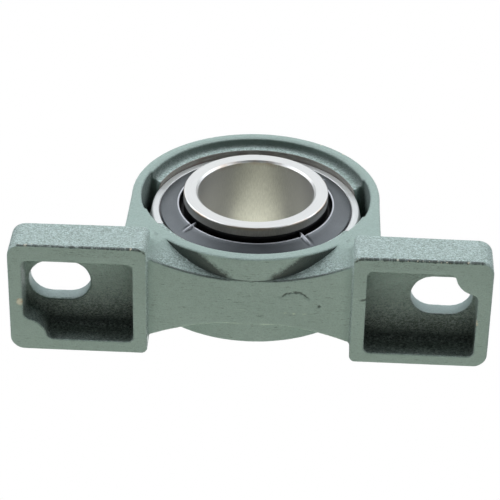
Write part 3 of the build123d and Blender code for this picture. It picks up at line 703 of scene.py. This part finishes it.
# ============================================================ flingers
def flinger(name, sign):
    # outer skin from the rim to the rolled lip, then back along the inner skin
    outline = [(45.10, -14.38), (44.98, -14.50), (44.6, -14.64)]
    for k in range(1, 12):
        t = k / 12.0
        outline.append((44.6 + (37.9 - 44.6) * t, -14.64 + (-16.62 + 14.64) * t - 0.10 * math.sin(math.pi * t)))
    outline += [(37.9, -16.66), (37.4, -16.90), (37.0, -17.08), (36.65, -17.14), (36.38, -17.06), (36.24, -16.86),
                (36.20, -16.55), (36.22, -16.05), (36.30, -15.75), (36.60, -15.78), (36.95, -15.95), (37.3, -16.02),
                (37.9, -15.86)]
    for k in range(1, 8):
        t = k / 8.0
        outline.append((37.9 + (44.8 - 37.9) * t, -15.86 + (-13.80 + 15.86) * t))
    outline += [(44.9, -13.74), (45.08, -13.88)]
    crimps = [math.radians(a) for a in CRIMPS]

    def warp(r, y, a, j):
        # a pinched crease at each crimp, deepest at the lip and dying out up the cone
        for c in crimps:
            d = (a - c + math.pi) % (2 * math.pi) - math.pi
            s = d * r                     # distance across the crease, mm
            if abs(s) > 4.0:
                continue
            up = max(0.0, 1.0 - (r - 36.2) / 7.2)
            front = y < -14.0 and (y < -14.0 - (45.5 - r) * 0.21)
            ridge = math.exp(-((s / 0.70) ** 2))
            valley = math.exp(-(((abs(s) - 1.50) / 0.55) ** 2))
            y += (-1.05 * ridge + 0.40 * valley) * up ** 1.1
            if r < 38.4:
                pull = math.exp(-((s / 0.85) ** 2)) * max(0.0, 1.0 - (r - 36.2) / 2.2)
                r -= 1.90 * pull
        return r, y, a

    if sign > 0:
        base = warp

        def warp2(r, y, a, j):
            r, yy, a = base(r, -y, a, j)
            return r, -yy, a
        ob = lathe(name, [(r, -y) for r, y in outline], 1080, warp2)
    else:
        ob = lathe(name, outline, 1080, warp)
    smooth_by_angle(ob, 50)
    give(ob, MAT_FLINGER)
    return ob


ff = flinger("flinger_front_disc", -1)
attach(ff, "inner"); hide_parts("flinger_front")
fr = flinger("flinger_rear_disc", 1)
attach(fr, "inner"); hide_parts("flinger_rear")

# ============================================================ carried-over nodes
give_node("outer_ring", MAT_RING)
give_node("inner_ring", MAT_INNER)
for n in ("cage_front", "cage_rear", "cage_rivets"):
    give_node(n, MAT_CAGE)
for n in ("seal_front_core", "seal_rear_core"):
    give_node(n, MAT_CORE)
for n in ("seal_front_lip", "seal_rear_lip"):
    give_node(n, MAT_RUBBER)
for n in ("set_screw_a", "set_screw_b"):
    give_node(n, MAT_SCREW)
give_node("grease_nipple", MAT_NIPPLE)
give_node("nipple_ball", MAT_BALL)
give_node("nipple_spring", MAT_SPRING)
for k in range(1, 11):
    give_node(f"ball_{k:02d}", MAT_BALL)


# ============================================================ floor, world, lights
def floor_material():
    """Pale floor, seen from above only; from below it lets the view through."""
    mat = bpy.data.materials.new("pale_floor")
    mat.use_nodes = True
    t = mat.node_tree
    t.nodes.clear()
    out = t.nodes.new("ShaderNodeOutputMaterial")
    bs = t.nodes.new("ShaderNodeBsdfPrincipled")
    tr = t.nodes.new("ShaderNodeBsdfTransparent")
    mx = t.nodes.new("ShaderNodeMixShader")
    ge = t.nodes.new("ShaderNodeNewGeometry")
    bs.inputs["Base Color"].default_value = (0.34, 0.34, 0.34, 1)
    bs.inputs["Emission Color"].default_value = (1.0, 1.0, 1.0, 1)
    bs.inputs["Emission Strength"].default_value = 0.62
    bs.inputs["Roughness"].default_value = 0.75
    t.links.new(ge.outputs["Backfacing"], mx.inputs[0])
    t.links.new(bs.outputs[0], mx.inputs[1])
    t.links.new(tr.outputs[0], mx.inputs[2])
    t.links.new(mx.outputs[0], out.inputs["Surface"])
    return mat


bm = bmesh.new()
s = 6.0
vs = [bm.verts.new(p) for p in ((-s, -s, -0.0004), (s, -s, -0.0004), (s, s, -0.0004), (-s, s, -0.0004))]
bm.faces.new(vs)
fm = bpy.data.meshes.new("floor")
bm.to_mesh(fm)
bm.free()
floor = new_object("floor", fm)
fm.materials.append(floor_material())
floor.visible_shadow = False
floor.visible_diffuse = False
floor.visible_glossy = False
floor.visible_transmission = False

world = bpy.data.worlds.new("studio")
scene.world = world
world.use_nodes = True
wt = world.node_tree
wt.nodes.clear()
wo = wt.nodes.new("ShaderNodeOutputWorld")
wcam = wt.nodes.new("ShaderNodeBackground")
wenv = wt.nodes.new("ShaderNodeBackground")
wmix = wt.nodes.new("ShaderNodeMixShader")
lp = wt.nodes.new("ShaderNodeLightPath")
wcam.inputs[0].default_value = (1, 1, 1, 1)
wcam.inputs[1].default_value = 1.0
wenv.inputs[0].default_value = (0.95, 1.0, 0.99, 1)
wenv.inputs[1].default_value = 0.10
wt.links.new(lp.outputs["Is Camera Ray"], wmix.inputs[0])
wt.links.new(wenv.outputs[0], wmix.inputs[1])
wt.links.new(wcam.outputs[0], wmix.inputs[2])
wt.links.new(wmix.outputs[0], wo.inputs[0])


def area(name, loc, target, size, power, color=(1, 1, 1), size_y=None):
    ld = bpy.data.lights.new(name, "AREA")
    ld.energy = power
    ld.color = color
    ld.size = size
    if size_y:
        ld.shape = "RECTANGLE"
        ld.size_y = size_y
    ob = bpy.data.objects.new(name, ld)
    coll.objects.link(ob)
    ob.location = loc
    d = Vector(target) - Vector(loc)
    ob.rotation_euler = d.to_track_quat("-Z", "Y").to_euler()
    return ob


T = Vector((0, 0, 0.05))


def card(name, direction, distance, size, size_y, radiance, color=(1, 1, 1)):
    """Soft card with a given radiance, at this distance from the part."""
    d = Vector(direction).normalized()
    return area(name, T + d * distance, T, size, radiance * math.pi * size * size_y, color, size_y)


card("back_card", (0.0, -0.50, 0.866), 1.05, 1.7, 0.9, 1.06, (0.97, 0.99, 1.03))
card("left_box", (-0.66, -0.72, 0.22), 1.0, 0.9, 0.9, 2.6, (0.96, 0.99, 1.05))
card("right_box", (0.66, -0.72, 0.22), 1.0, 0.9, 0.9, 2.4, (0.96, 0.99, 1.05))
card("table_bounce", (0.0, 0.58, -0.81), 0.9, 1.7, 0.6, 1.62, (1.0, 1.0, 0.92))
card("rear_top", (0.25, 0.72, 0.65), 1.1, 0.9, 0.8, 2.0, (1.0, 1.0, 1.0))

scene.view_settings.view_transform = "Standard"
scene.view_settings.look = "None"
scene.view_settings.exposure = 0.0
